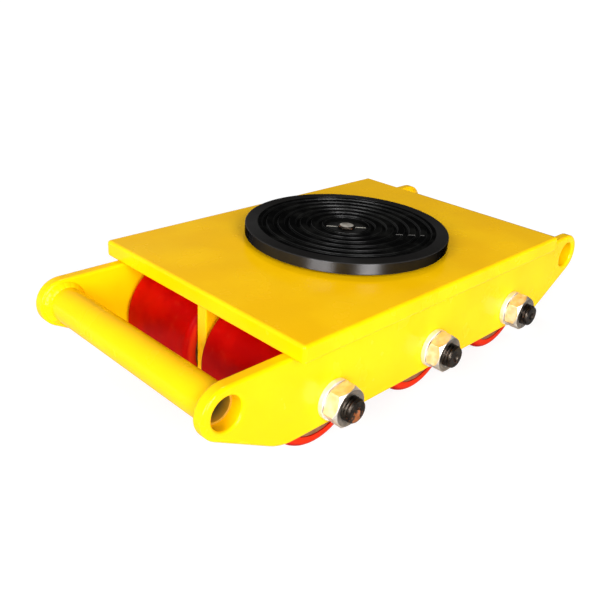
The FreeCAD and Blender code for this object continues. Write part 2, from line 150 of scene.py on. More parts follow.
def add_node(tree: bpy.types.NodeTree, kind: str, inputs: dict[Any, Any] | None = None, output: Any = 0,
             **settings: Any) -> Socket:
    """Adds a shader node with its settings and links.

    Args:
        tree: The node tree.
        kind: The node's type name after "ShaderNode".
        inputs: Values, or sockets to link from, by input name or index.
        output: The name or index of the output to give back.
        settings: Properties of the node.

    Returns:
        The chosen output socket, or the first input of a node that has no output.
    """
    node = tree.nodes.new("ShaderNode" + kind)
    for key, value in settings.items():
        setattr(node, key, value)
    for key, value in (inputs or {}).items():
        if isinstance(value, Socket):
            tree.links.new(value, node.inputs[key])
        else:
            node.inputs[key].default_value = value
    return node.outputs[output] if node.outputs else node.inputs[0]


class Coat:
    """One material while it is built up: its colour and its height come in layers."""

    def __init__(self, tree: bpy.types.NodeTree) -> None:
        """Starts a coat that is white and flat."""
        self.tree = tree
        self.add = functools.partial(add_node, tree)
        self.place = self.add("TexCoord", output="Object")
        self.colour: Any = linear("#FFFFFF")
        self.height: Any = 0.0

    def cloud(self, size: float, low: float = 0.0, high: float = 1.0, start: float = 0.35, stop: float = 0.65,
              detail: float = 3.0) -> Socket:
        """A cloudy pattern of a real size.

        Args:
            size: The width of a cloud.
            low: The value given at the start level and below.
            high: The value given at the stop level and above.
            start: The noise level, most often between 0.3 and 0.7, that a cloud starts at.
            stop: The noise level that it is full at.
            detail: How many finer layers it has.

        Returns:
            The pattern.
        """
        fog = self.add("TexNoise", {"Vector": self.place, "Scale": per_metre(size), "Detail": detail})
        return self.add("MapRange", {"Value": fog, "From Min": start, "From Max": stop, "To Min": low,
                                     "To Max": high}, interpolation_type="SMOOTHSTEP")

    def specks(self, spacing: float, radius: float) -> Socket:
        """Sparse round specks: 1 in their middles and 0 outside them."""
        cell = self.add("TexVoronoi", {"Vector": self.place, "Scale": per_metre(spacing)}, "Distance")
        return self.add("MapRange", {"Value": cell, "From Max": radius / spacing, "To Min": 1.0,
                                     "To Max": 0.0}, interpolation_type="SMOOTHSTEP")

    def edges(self, width: float) -> Socket:
        """Near 1 within this width of an edge, and 0 on the flats."""
        soft = self.add("Bevel", {"Radius": width * MM}, samples=6)
        flat = self.add("NewGeometry", output="Normal")
        alike = self.add("VectorMath", {0: soft, 1: flat}, "Value", operation="DOT_PRODUCT")
        return self.add("MapRange", {"Value": alike, "From Min": 0.99, "From Max": 0.8})

    def facing(self, axis: int, low: float, high: float) -> Socket:
        """How far the surface faces along an axis of the frame: 0 below the low share, 1 above the high."""
        part = self.add("SeparateXYZ", {0: self.add("NewGeometry", output="Normal")}, axis)
        size = self.add("Math", {0: part}, operation="ABSOLUTE")
        return self.add("MapRange", {"Value": size, "From Min": low, "From Max": high})

    def off_axle(self) -> Socket:
        """The distance from the nearest axle's line, in metres."""
        half = AXLES.spacing / 2 * MM
        along = self.add("SeparateXYZ", {0: self.place})
        x = self.add("Math", {0: along, 1: half, 2: -half}, operation="WRAP")
        up = self.add("SeparateXYZ", {0: self.place}, 2)
        z = self.add("Math", {0: up, 1: AXLES.height * MM}, operation="SUBTRACT")
        return self.add("VectorMath", {0: self.add("CombineXYZ", {0: x, 1: z})}, "Value", operation="LENGTH")

    def off_pivot(self) -> Socket:
        """The distance from the turntable's axis, in metres."""
        flat = self.add("VectorMath", {0: self.place, 1: (1, 1, 0)}, operation="MULTIPLY")
        return self.add("VectorMath", {0: flat}, "Value", operation="LENGTH")

    def rings(self, along: Socket, pitch: float) -> Socket:
        """A tool's marks: a wave that repeats every pitch along a distance in metres."""
        angle = self.add("Math", {0: along, 1: math.tau * per_metre(pitch)}, operation="MULTIPLY")
        return self.add("Math", {0: angle}, operation="SINE")

    def stripe(self, start: Point, end: Point, width: float) -> Socket:
        """1 along a straight mark from one point to another, and 0 outside its width."""
        way = (Vector(end) - Vector(start)) * MM
        away = self.add("VectorMath", {0: self.place, 1: Vector(start) * MM}, operation="SUBTRACT")
        share = self.add("VectorMath", {0: away, 1: way / way.length_squared}, "Value",
                         operation="DOT_PRODUCT")
        held = self.add("MapRange", {"Value": share})
        nearest = self.add("VectorMath", {0: way, "Scale": held}, operation="SCALE")
        gap = self.add("VectorMath", {0: away, 1: nearest}, "Value", operation="DISTANCE")
        return self.add("MapRange", {"Value": gap, "From Min": width * 0.2 * MM, "From Max": width * 0.6 * MM,
                                     "To Min": 1.0, "To Max": 0.0}, interpolation_type="SMOOTHSTEP")

    def layer(self, mask: Any, code: str, share: float = 1.0, height: float = 0.0) -> None:
        """Lays a colour over the ones before it, and raises the surface there.

        Args:
            mask: Where the layer lies, from 0 to 1.
            code: Its sRGB hex colour.
            share: How much of the colour shows where the mask is full.
            height: Its thickness.
        """
        if share != 1.0:
            shown = self.add("Math", {0: mask, 1: share}, operation="MULTIPLY")
        else:
            shown = mask
        self.colour = self.add("Mix", {0: shown, 6: self.colour, 7: linear(code)}, 2, data_type="RGBA")
        if height:
            self.emboss(mask, height)

    def emboss(self, pattern: Any, height: float) -> None:
        """Raises the surface by a pattern times a height."""
        self.height = self.add("Math", {0: pattern, 1: height, 2: self.height}, operation="MULTIPLY_ADD")

    def finish(self, **inputs: Any) -> None:
        """Joins the layers to a shader, with its other inputs by name."""
        bump = self.add("Bump", {"Height": self.height, "Distance": MM})
        named = {key.replace("_", " "): value for key, value in inputs.items()}
        shader = self.add("BsdfPrincipled", {"Base Color": self.colour, "Normal": bump, **named})
        self.add("OutputMaterial", {"Surface": shader})


@dataclass(frozen=True)
class Finish:
    """A surface finish, which makes its material the first time that it is asked for."""

    name: str

    def material(self) -> bpy.types.Material:
        """Gives the finish's material."""
        found = bpy.data.materials.get(self.name)
        if found is not None:
            return found
        material = bpy.data.materials.new(self.name)
        material.use_nodes = True
        material.node_tree.nodes.clear()
        self.dress(Coat(material.node_tree))
        return material

    def dress(self, coat: Coat) -> None:
        """Builds the finish up in layers."""
        raise NotImplementedError


@dataclass(frozen=True)
class GlossEnamel(Finish):
    """Gloss enamel sprayed over rolled plate.

    It gives the eye one bright colour that turns deeper where it lies thick, a soft orange peel in the
    reflections, a few dust nibs, and thin or chipped paint along the edges.
    """

    deep: str
    light: str
    thin: str
    bare: str

    def dress(self, coat: Coat) -> None:
        """Builds the finish up in layers."""
        coat.layer(1.0, self.deep)
        coat.layer(coat.cloud(55), self.light)
        edge = coat.edges(1.2)
        coat.layer(edge, self.thin, 0.12)
        coat.layer(coat.specks(12, 0.55), self.thin, 0.6, 0.12)
        chips = coat.add("Math", {0: edge, 1: coat.cloud(2.6, start=0.66, stop=0.7)}, operation="MULTIPLY")
        coat.layer(chips, self.bare, height=-0.06)
        coat.emboss(coat.cloud(1.9, detail=1), 0.012)
        coat.emboss(coat.cloud(70, start=0.2, stop=0.8, detail=1), 0.4)
        coat.finish(Roughness=coat.cloud(26, 0.16, 0.28), IOR=1.25)


@dataclass(frozen=True)
class CastPolyurethane(Finish):
    """Cast polyurethane, turned to size.

    It gives the eye a deep, slightly soft red with faint rings round the roller and a little floor dust.
    The rings are drawn coarser than a lathe's, so that they show. Its ends are paler orange-red, a painted
    highlight for the light that falls on them.
    """

    deep: str
    light: str
    dust: str
    cast: str

    def dress(self, coat: Coat) -> None:
        """Builds the finish up in layers."""
        coat.layer(1.0, self.deep)
        coat.layer(coat.cloud(22), self.light)
        # Painted highlight: faces along the axle, the roller ends, turn paler orange-red
        coat.layer(coat.facing(1, 0.75, 0.98), self.cast)
        coat.layer(coat.cloud(5, start=0.55, stop=0.8, detail=5), self.dust, 0.1)
        coat.emboss(coat.rings(coat.add("SeparateXYZ", {0: coat.place}, 1), 0.9), 0.004)
        coat.emboss(coat.cloud(14, detail=2), 0.02)
        coat.finish(Roughness=coat.cloud(9, 0.3, 0.45), IOR=1.12)


@dataclass(frozen=True)
class MouldedRubber(Finish):
    """Moulded black rubber.

    It gives the eye a dull near-black with a fine grain, patches of grey dust and pale scuffs. Only the
    rounded edges are rubbed shiny.
    """

    dark: str
    dusty: str
    grain: float = 0.5
    scuffs: tuple[tuple[Point, Point], ...] = ()
    scuffed: str = "#8C8A86"
    scuff_width: float = 1.2
    rubbed: float = 0.3

    def dress(self, coat: Coat) -> None:
        """Builds the finish up in layers."""
        coat.layer(1.0, self.dark)
        coat.layer(coat.cloud(17, start=0.45, stop=0.8, detail=6), self.dusty, 0.5)
        for start, end in self.scuffs:
            coat.layer(coat.stripe(start, end, self.scuff_width), self.scuffed, 0.7)
        coat.emboss(coat.cloud(self.grain, start=0.2, stop=0.8, detail=2), 0.03)
        rounded = coat.add("Math", {0: coat.facing(2, 0.0, 0.2), 1: coat.facing(2, 0.55, 0.9)},
                           operation="SUBTRACT")
        shine = coat.add("Math", {0: rounded, 1: self.rubbed}, operation="MULTIPLY")
        coat.finish(Roughness=coat.cloud(11, 0.28, 0.4), Specular_IOR_Level=shine)


@dataclass(frozen=True)
class TurnedBlack(Finish):
    """A turned steel disc, oil-blacked.

    It gives the eye a satin black metal whose rim draws each lamp into an upright pale band, because the
    tool's rings run round it. Its upper face is duller, and it is stained in faint patches.
    """

    dark: str
    stained: str
    dull: str
    glance: str
    streak: float

    def dress(self, coat: Coat) -> None:
        """Builds the finish up in layers."""
        coat.layer(1.0, self.dark)
        coat.layer(coat.cloud(14, start=0.5, stop=0.8, detail=5), self.stained, 0.3)
        upper = coat.facing(2, 0.2, 0.8)
        coat.layer(upper, self.dull)
        coat.emboss(coat.cloud(1.4, detail=2), 0.006)
        round_pivot = coat.add("VectorMath", {0: Axis.Z.value, 1: coat.place}, operation="CROSS_PRODUCT")
        turned = coat.add("VectorTransform", {0: round_pivot}, convert_from="OBJECT", convert_to="WORLD")
        across = coat.add("VectorMath", {0: coat.add("NewGeometry", output="Normal"), 1: turned},
                          operation="CROSS_PRODUCT")
        coat.finish(Metallic=coat.add("Math", {0: 1.0, 1: upper}, operation="SUBTRACT"),
                    Roughness=coat.cloud(8, 0.37, 0.43), Specular_IOR_Level=0.15,
                    Specular_Tint=linear(self.glance), Anisotropic=self.streak, Tangent=across)


@dataclass(frozen=True)
class MachinedMetal(Finish):
    """Bare metal, turned or ground round an axle.

    It gives the eye a metal sheen drawn into rings of the tool's pitch, with a soft uneven stain.
    """

    dark: str
    light: str
    ring_pitch: float
    ring_depth: float
    smooth: float
    rough: float
    metal: float = 1.0

    def dress(self, coat: Coat) -> None:
        """Builds the finish up in layers."""
        coat.layer(1.0, self.dark)
        coat.layer(coat.cloud(7, detail=4), self.light)
        coat.emboss(coat.rings(coat.off_axle(), self.ring_pitch), self.ring_depth)
        coat.finish(Metallic=self.metal, Roughness=coat.cloud(4, self.smooth, self.rough))


@dataclass(frozen=True)
class ZincPlate(Finish):
    """Zinc plating that has gone partly dull.

    It gives the eye bright metal under a patchy white bloom, with a yellow passivated tinge in places.
    """

    bright: str
    bloom: str
    yellowed: str
    metal: float
    patchy: float = 0.08

    def dress(self, coat: Coat) -> None:
        """Builds the finish up in layers."""
        coat.layer(1.0, self.bright)
        coat.layer(coat.cloud(5, detail=4), self.bloom)
        coat.layer(coat.cloud(8, start=0.52, stop=0.75, detail=2), self.yellowed, 0.1)
        coat.emboss(coat.cloud(1.2, start=0.2, stop=0.8), 0.02)
        coat.finish(Metallic=coat.cloud(5, self.metal + self.patchy, self.metal - self.patchy, detail=4),
                    Roughness=coat.cloud(3, 0.42, 0.55))


@dataclass(frozen=True)
class BlackOxide(Finish):
    """Oiled black oxide on steel.

    It gives the eye a dark brown-black sheen with small rust spots, and one stud end that has rusted orange.
    """

    dark: str
    light: str
    rust: str
    rust_at: Point
    rust_reach: float

    def dress(self, coat: Coat) -> None:
        """Builds the finish up in layers."""
        coat.layer(1.0, self.dark)
        coat.layer(coat.cloud(4, detail=4), self.light)
        way = coat.add("VectorMath", {0: coat.place, 1: [c * MM for c in self.rust_at]}, "Value",
                       operation="DISTANCE")
        reach = self.rust_reach * MM
        wander = coat.cloud(2.5, -reach / 2, reach / 2, detail=4)
        ragged = coat.add("Math", {0: way, 1: wander}, operation="ADD")
        near = coat.add("MapRange", {"Value": ragged, "From Min": reach * 0.7, "From Max": reach * 1.3,
                                     "To Min": 1.0, "To Max": 0.0})
        spots = coat.cloud(3.2, 0.0, 0.6, start=0.62, stop=0.72, detail=4)
        rust = coat.add("Math", {0: near, 1: spots}, operation="MAXIMUM")
        coat.layer(rust, self.rust, height=0.05)
        coat.finish(Metallic=coat.add("Math", {0: 1.0, 1: rust}, operation="SUBTRACT"),
                    Roughness=coat.add("MapRange", {"Value": rust, "To Min": 0.36, "To Max": 0.75}))


@dataclass(frozen=True)
class PaintedGlintSteel(Finish):
    """Oiled dark steel, turned about the turntable's pivot.

    It gives the eye a near-black disc with fine rings and one bright line across it, a painted glint for the
    lamps caught in its turned rings.
    """

    dark: str
    oily: str
    bright: str
    line: tuple[Point, Point]
    line_width: float = 1.7

    def dress(self, coat: Coat) -> None:
        """Builds the finish up in layers."""
        coat.layer(1.0, self.dark)
        coat.layer(coat.cloud(6, detail=4), self.oily)
        # Painted highlight: a bright stripe across the disc stands for a glint
        coat.layer(coat.stripe(*self.line, self.line_width), self.bright)
        coat.emboss(coat.rings(coat.off_pivot(), 0.5), 0.008)
        coat.finish(Roughness=coat.cloud(3, 0.3, 0.45), IOR=1.4)


@dataclass(frozen=True)
class TubeBore(Finish):
    """The unpainted inside of a drawn tube.

    It gives the eye dark mill scale with a rusty film, and paint blown a little way in at the ends. Its
    near-black colour is partly painted shade, for the shade deep inside the tube.
    """

    scale: str
    rusty: str
    overspray: str
    clean_to: float
    sprayed_from: float

    def dress(self, coat: Coat) -> None:
        """Builds the finish up in layers."""
        # Partly painted shade: the bore's dark colour also stands for the shade inside the tube
        coat.layer(1.0, self.scale)
        coat.layer(coat.cloud(12, start=0.4, stop=0.7, detail=5), self.rusty)
        across = coat.add("Math", {0: coat.add("SeparateXYZ", {0: coat.place}, 1)}, operation="ABSOLUTE")
        spray = coat.add("MapRange", {"Value": across, "From Min": self.clean_to * MM,
                                      "From Max": self.sprayed_from * MM})
        coat.layer(spray, self.overspray, 0.85)
        coat.emboss(coat.cloud(1.5, start=0.2, stop=0.8), 0.05)
        coat.finish(Roughness=coat.cloud(6, 0.55, 0.75))


@dataclass(frozen=True)
class AxleLayout:
    """Where the axles and rollers lie."""

    spacing: float = 112.0
    height: float = 43.5
    roller_y: float = 46.0
    plate_outer_y: float = 97.0
    end_y: float = 118.5

    def x(self, row: Row) -> float:
        """The row's place along the skate."""
        return row.step * self.spacing


AXLES = AxleLayout()
PAD_TOP = 114.2
KEEPER_TOP = 111.2
SCUFFS = (((13.5, -38.1, PAD_TOP), (31.7, -53.8, PAD_TOP)), ((19.3, -0.9, PAD_TOP), (20.1, -0.1, PAD_TOP)))
# Ends of the painted glint line across the pivot's keeper
PAINTED_GLINT_LINE = ((13.7, -9.7, KEEPER_TOP), (-10.0, 13.3, KEEPER_TOP))

ENAMEL = GlossEnamel("gloss_enamel", "#F8BE02", "#FDC604", "#EEA400", "#6E6048")
ZINC = ZincPlate("dull_zinc", "#E0D8CA", "#EEE8DC", "#E0C890", 0.88)
WASHER = ZincPlate("washer_zinc", "#E6E0D6", "#F2EEE6", "#E0C890", 0.6)
WORN_HEAD = ZincPlate("worn_bolt_head", "#8E897F", "#B0AAA0", "#A08C64", 0.4)
OXIDE = BlackOxide("black_oxide", "#2E2925", "#4A433C", "#8A4A1C", (-AXLES.spacing, -AXLES.end_y, 40.0),
                   4.0)
# The last colour is the painted highlight on the roller ends
TREAD = CastPolyurethane("cast_polyurethane", "#A20000", "#B40400", "#B04A30", "#CC2A0E")
RUBBER = MouldedRubber("moulded_rubber", "#080808", "#242422", scuffs=SCUFFS)
BORE_AND_SHADE = TubeBore("tube_bore", "#2C2610", "#3E3414", "#D8A010", 78.0, 89.0)
PAINTED_GLINT_KEEPER = PaintedGlintSteel("keeper_painted_glint", "#070707", "#12110F", "#C4C0B4", PAINTED_GLINT_LINE)
NUT_FACE = MachinedMetal("nut_face", "#A0968C", "#BEB4A8", 0.7, 0.01, 0.3, 0.45)
FINISHES: dict[Slot, Finish] = {
    Slot.ENAMEL: ENAMEL,
    Slot.TREAD: TREAD,
    Slot.RUBBER: RUBBER,
    Slot.BLACK: TurnedBlack("oil_blacked_steel", "#4A4A4C", "#413E3D", "#191817", "#808080", 1.0),
    Slot.ZINC: ZINC,
    Slot.OXIDE: OXIDE,
    Slot.TURNED: MachinedMetal("raw_turned_steel", "#7E5238", "#946646", 0.6, 0.008, 0.4, 0.55, 0.2),
    Slot.GROUND: MachinedMetal("ground_steel", "#A8A8A8", "#C0C0C0", 0.25, 0.001, 0.1, 0.24),
    Slot.SEAL: MouldedRubber("seal_rubber", "#0E0E0E", "#242322", 0.3),
    Slot.BRONZE: MachinedMetal("bearing_bronze", "#9A6832", "#B58348", 0.5, 0.004, 0.24, 0.4),
}
SLOT_OF = {part["node"]: Slot(part["material_slot"]) for part in frame["record"]["subparts"]}


def draw_outline(bm: bmesh.types.BMesh, points: Iterable[Vector]) -> None:
    """Draws a closed outline through points in millimetres."""
    verts = [bm.verts.new(point * MM) for point in points]
    for first, second in zip(verts, verts[1:] + verts[:1]):
        bm.edges.new((first, second))


def lathe(outline: Iterable[tuple[float, float]], centre: Point, axis: Axis, steps: int,
          start: float = 0.0) -> bmesh.types.BMesh:
    """Turns a closed outline about an axis.

    Args:
        outline: Points as (distance from the axis, place along it).
        centre: A point on the axis, from which places along it count.
        axis: The axis's direction.
        steps: How many steps make the full turn.
        start: The angle of the outline itself, in degrees.

    Returns:
        The closed mesh.
    """
    bm = bmesh.new()
    spoke, along = axis.spoke(start), Vector(axis.value)
    draw_outline(bm, (Vector(centre) + spoke * out + along * place for out, place in outline))
    bmesh.ops.spin(bm, geom=bm.verts[:] + bm.edges[:], cent=Vector(centre) * MM, axis=along, angle=math.tau,
                   steps=steps, use_merge=True)
    bmesh.ops.remove_doubles(bm, verts=bm.verts[:], dist=MERGED * MM)
    bmesh.ops.recalc_face_normals(bm, faces=bm.faces[:])
    return bm


def round_off(bm: bmesh.types.BMesh, radius: float, segments: int = 3, least: float = 40.0,
              chosen: Callable[[bmesh.types.BMEdge], bool] | None = None) -> None:
    """Rounds a mesh's sharp edges.

    Args:
        bm: The mesh.
        radius: How far from the edge the rounding starts.
        segments: How many facets it has.
        least: The smallest angle, in degrees, that counts as sharp.
        chosen: A test that picks among the sharp edges.
    """
    bm.normal_update()
    sharp = [e for e in bm.edges if e.is_manifold and e.calc_face_angle() > math.radians(least)]
    picked = [e for e in sharp if chosen is None or chosen(e)]
    bmesh.ops.bevel(bm, geom=picked, offset=radius * MM, offset_type="OFFSET", segments=segments, profile=0.5,
                    affect="EDGES", clamp_overlap=True, material=-1)


def make_piece(name: str, bm: bmesh.types.BMesh, finishes: list[Finish], body: str,
               *nodes: str) -> bpy.types.Object:
    """Turns a finished mesh into a piece of the skate.

    Args:
        name: The piece's name.
        bm: Its mesh, which is freed here.
        finishes: Its finishes, in the order of its material numbers.
        body: The body of the model that it moves with.
        nodes: The CAD nodes that it stands for.

    Returns:
        The piece.
    """
    bmesh.ops.recalc_face_normals(bm, faces=bm.faces[:])
    mesh = bpy.data.meshes.new(name)
    bm.to_mesh(mesh)
    bm.free()
    mesh.shade_smooth()
    mesh.set_sharp_from_angle(angle=math.radians(SHARP))
    for finish in finishes:
        mesh.materials.append(finish.material())
    piece = bpy.data.objects.new(name, mesh)
    bpy.context.scene.collection.objects.link(piece)
    piece.modifiers.new("even_shading", "WEIGHTED_NORMAL").keep_sharp = True
    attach(piece, body)
    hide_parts(*nodes)
    log.info("made %s on %s, %d faces", name, body, len(mesh.polygons))
    return piece


@dataclass(frozen=True)
class CrossTube:
    """A tube between the lugs, painted outside and bare inside, where its dark colour is partly painted
    shade.
    """

    name: str
    node: str
    x: float
    z: float
    outer: float
    half_length: float
    bore: float = 10.0
    edge: float = 0.4

    def build(self) -> None:
        """Makes the tube."""
        centre = (self.x, 0.0, self.z)
        outline = [(self.bore, -self.half_length), (self.outer, -self.half_length),
                   (self.outer, self.half_length), (self.bore, self.half_length)]
        bm = lathe(outline, centre, Axis.Y, steps=96)
        round_off(bm, self.edge)
        middle = (self.bore + self.outer) / 2
        for face in bm.faces:
            out, _, _ = Axis.Y.polar(face.calc_center_median() / MM - Vector(centre))
            face.material_index = int(out < middle)
        make_piece(self.name, bm, [ENAMEL, BORE_AND_SHADE], "frame", self.node)


@dataclass(frozen=True)
class WeldBead:
    """A painted fillet weld, laid in overlapping ripples."""

    name: str
    leg: float
    ripple: float = 2.6
    dip: float = 0.16
    wander: float = 0.08
    crown: float = 0.62
    fullness: float = 0.6
    end_share: float = 0.45
    points: int = 7
    seed: int = 7

    def section(self) -> list[tuple[float, float]]:
        """The bead's outline out of the corner that it fills, from one leg to the other."""
        shape = [(0.0, 0.0)]
        for index in range(self.points):
            t = index / (self.points - 1)
            bend = 2 * t * (1 - t) * self.crown
            shape.append((self.leg * (t * t + bend), self.leg * ((1 - t) ** 2 + bend)))
        return shape

    def sizes(self, ripples: int) -> list[float]:
        """The size of each ripple, a little uneven."""
        rng = random.Random(self.seed)
        return [1 - self.wander * rng.random() for _ in range(ripples)]

    def size_at(self, share: float, sizes: list[float]) -> float:
        """The bead's size at a share of its length, lower between two ripples."""
        place = share * len(sizes)
        arch = math.sin(math.pi * (place % 1)) ** self.fullness
        return sizes[int(place) % len(sizes)] - self.dip * (1 - arch)

    def ring(self, x: float, z: float, plate_y: float, tube_radius: float) -> None:
        """Lays the bead round a tube's end, against a plate's inner face."""
        into = -math.copysign(1, plate_y)
        centre = Vector((x, plate_y, z))
        outline = [(tube_radius + out, into * deep) for out, deep in self.section()]
        bm = lathe(outline, centre, Axis.Y, steps=240)
        sizes = self.sizes(round(math.tau * (tube_radius + self.leg / 2) / self.ripple))
        for vert in bm.verts:
            out, angle, deep = Axis.Y.polar(vert.co / MM - centre)
            size = self.size_at((angle / 360) % 1, sizes)
            reach = tube_radius + (out - tube_radius) * size
            vert.co = (centre + Axis.Y.spoke(angle) * reach + Vector((0, deep * size, 0))) * MM
        make_piece(self.name, bm, [ENAMEL], "frame", "weld_beads")

    def run(self, length: float, corner_y: float, corner_z: float, side: int, stations: int = 6) -> None:
        """Lays the bead under the deck, along X, against a plate face that points to one side."""
        bm = bmesh.new()
        corner = Vector((0, corner_y, corner_z))
        start = corner - Vector((length / 2, 0, 0))
        draw_outline(bm, (start + Vector((0, side * out, -down)) for out, down in self.section()))
        sizes = self.sizes(round(length / self.ripple))
        steps = len(sizes) * stations
        bmesh.ops.spin(bm, geom=bm.verts[:] + bm.edges[:], cent=(0, 0, 0), axis=(1, 0, 0), angle=0,
                       steps=steps, dvec=(length * MM / steps, 0, 0))
        bmesh.ops.holes_fill(bm, edges=[e for e in bm.edges if e.is_boundary], sides=0)
        for vert in bm.verts:
            away = vert.co / MM - corner
            taper = min(1.0, self.end_share + (length / 2 - abs(away.x)) / (2 * self.leg))
            size = self.size_at(away.x / length + 0.5, sizes) * taper
            vert.co = (corner + Vector((away.x, away.y * size, away.z * size))) * MM
        make_piece(self.name, bm, [ENAMEL], "frame", "weld_beads")


@dataclass(frozen=True)
class WeldedFrame:
    """The frame's tubes and welds. Its plates keep their CAD shapes."""

    lug_x: float = 203.5
    tube_z: float = 70.5
    tube_radius: float = 13.0
    plate_inner_y: float = 87.0
    centre_face_y: float = 5.0
    deck_underside: float = 89.0
    deck_run: float = 294.0
    centre_run: float = 270.0
    tube_leg: float = 3.4
    tube_ripple: float = 4.6
    tube_dip: float = 0.07
    deck_leg: float = 5.0
    deck_ripple: float = 3.2
    centre_leg: float = 3.0
    centre_ripple: float = 2.4

    def build(self) -> None:
        """Makes both tubes and all eight welds."""
        for name, node, x in (("handle_tube", "front_handle_tube", -self.lug_x),
                              ("tie_tube", "rear_tie_tube", self.lug_x)):
            CrossTube(name, node, x, self.tube_z, self.tube_radius, self.plate_inner_y).build()
        for end, x in (("front", -self.lug_x), ("rear", self.lug_x)):
            for side in Side:
                bead = WeldBead(f"tube_weld_{end}_{side.label}", self.tube_leg, self.tube_ripple,
                                self.tube_dip, seed=11 + side.value)
                bead.ring(x, self.tube_z, side.value * self.plate_inner_y, self.tube_radius)
        for side in Side:
            deck = WeldBead(f"deck_weld_{side.label}", self.deck_leg, self.deck_ripple, seed=21 + side.value)
            deck.run(self.deck_run, side.value * AXLES.plate_outer_y, self.deck_underside, side.value)
            web = WeldBead(f"centre_weld_{side.label}", self.centre_leg, self.centre_ripple,
                           seed=31 + side.value)
            web.run(self.centre_run, side.value * self.centre_face_y, self.deck_underside, side.value)


@dataclass(frozen=True)
class Hexagon:
    """A nut or bolt head with round-chamfered ends. A nut has a bore, a bolt a shank."""

    across_flats: float
    height: float
    bore: float = 0.0
    shank: float = 0.0
    shank_length: float = 0.0
    chamfer: float = 45.0
    seat_chamfer: float = 30.0
    lead_in: float = 1.2
    edge: float = 0.3
    face_share: float = 0.97
    face_from: float = 0.8
    corner_from: float = 1.0

    def outline(self) -> list[tuple[float, float]]:
        """The section before its six sides are flattened, which also moves its corners."""
        flat = self.across_flats / 2
        corner = flat / math.cos(math.radians(30))
        face = flat * self.face_share
        sides = [(face, 0.0), (corner, self.corner_from), (corner, self.height - self.corner_from),
                 (face, self.height)]
        if self.bore:
            wide = self.bore + self.lead_in
            return [(self.bore, self.lead_in), (wide, 0.0), *sides, (wide, self.height),
                    (self.bore, self.height - self.lead_in)]
        return [(0.0, -self.shank_length), (self.shank, -self.shank_length), (self.shank, 0.0), *sides,
                (0.0, self.height)]

    def mesh(self, centre: Point, axis: Axis, facing: int, turn: float) -> bmesh.types.BMesh:
        """Turns the section and flattens its six sides.

        Args:
            centre: The middle of the face that it is seated on.
            axis: Its axis.
            facing: 1 or -1, the way along the axis that it stands up from its seat.
            turn: The angle of one corner, in degrees.

        Returns:
            The mesh.
        """
        outline = [(out, facing * place) for out, place in self.outline()]
        bm = lathe(outline, centre, axis, steps=96, start=turn)
        flat = self.across_flats / 2
        face = flat * self.face_share
        seat_slope = math.tan(math.radians(self.seat_chamfer))
        slope = math.tan(math.radians(self.chamfer))
        along = Vector(axis.value)
        for vert in bm.verts:
            out, angle, place = axis.polar(vert.co / MM - Vector(centre))
            if out < face + SAME:
                continue
            reach = flat / math.cos(math.radians((angle - turn) % 60 - 30))
            cut = reach - face
            end = cut * seat_slope if place * facing < self.height / 2 else self.height - cut * slope
            vert.co = (Vector(centre) + axis.spoke(angle) * reach + along * facing * end) * MM
        round_off(bm, self.edge)
        for side in bm.faces:
            side.material_index = int(abs(side.normal.dot(along)) > self.face_from)
        return bm


@dataclass(frozen=True)
class AxleSet:
    """The three axles with their threaded ends, nuts and washers."""

    shaft: float = 10.0
    thread: float = 9.0
    pitch: float = 2.5
    thread_depth: float = 1.35
    crest_share: float = 0.12
    flank_share: float = 0.72
    shoulder_y: float = 96.5
    end_y: float = AXLES.end_y
    end_chamfer: float = 1.2
    drill: float = 3.5
    drill_depth: float = 3.5
    washer: float = 15.0
    washer_bore: float = 9.5
    washer_thickness: float = 4.0
    washer_edge: float = 0.5
    samples_per_pitch: int = 10
    nut: Hexagon = Hexagon(27.0, 12.0, bore=9.05)

    def axle(self, row: Row) -> None:
        """Turns one axle and cuts a right-hand thread on both its ends."""
        centre = Vector((AXLES.x(row), 0.0, AXLES.height))
        step = self.pitch / self.samples_per_pitch
        count = int((self.end_y - self.shoulder_y) / step)
        threads = [(self.thread, self.end_y - index * step) for index in range(count, 0, -1)]
        half = [(self.shaft, self.shoulder_y), (self.thread, self.shoulder_y), *threads,
                (self.thread - self.end_chamfer, self.end_y), (self.drill, self.end_y),
                (0.0, self.end_y - self.drill_depth)]
        bm = lathe(half + [(out, -place) for out, place in reversed(half)], centre, Axis.Y, steps=64)
        for vert in bm.verts:
            out, angle, place = Axis.Y.polar(vert.co / MM - centre)
            if abs(out - self.thread) > SAME or abs(place) < self.shoulder_y + step:
                continue
            wave = abs((place / self.pitch + angle / 360) % 1 * 2 - 1)
            depth = self.thread_depth * min(1.0, max(0.0, (wave - self.crest_share) / self.flank_share))
            reach = min(self.thread - depth, self.thread - self.end_chamfer + self.end_y - abs(place))
            vert.co = (centre + Axis.Y.spoke(angle) * reach + Vector((0, place, 0))) * MM
        make_piece(f"axle_{row.label}", bm, [OXIDE], "frame", "axles")

    def fasteners(self, row: Row, side: Side) -> None:
        """Makes a washer and a nut on one end of an axle."""
        x, seat = AXLES.x(row), side.value * AXLES.plate_outer_y
        thick = side.value * self.washer_thickness
        ring = [(self.washer_bore, 0.0), (self.washer, 0.0), (self.washer, thick), (self.washer_bore, thick)]
        bm = lathe(ring, (x, seat, AXLES.height), Axis.Y, steps=96)
        round_off(bm, self.washer_edge)
        label = f"{row.label}_{side.label}"
        make_piece(f"washer_{label}", bm, [WASHER], "frame", "axle_washers")
        turn = row.nut_turn if side is Side.LEFT else -row.nut_turn
        bm = self.nut.mesh((x, seat + thick, AXLES.height), Axis.Y, side.value, turn)
        make_piece(f"nut_{label}", bm, [ZINC, NUT_FACE], "frame", "axle_nuts")

    def build(self) -> None:
        """Makes all the axles and fasteners."""
        for row in Row:
            self.axle(row)
            for side in Side:
                self.fasteners(row, side)


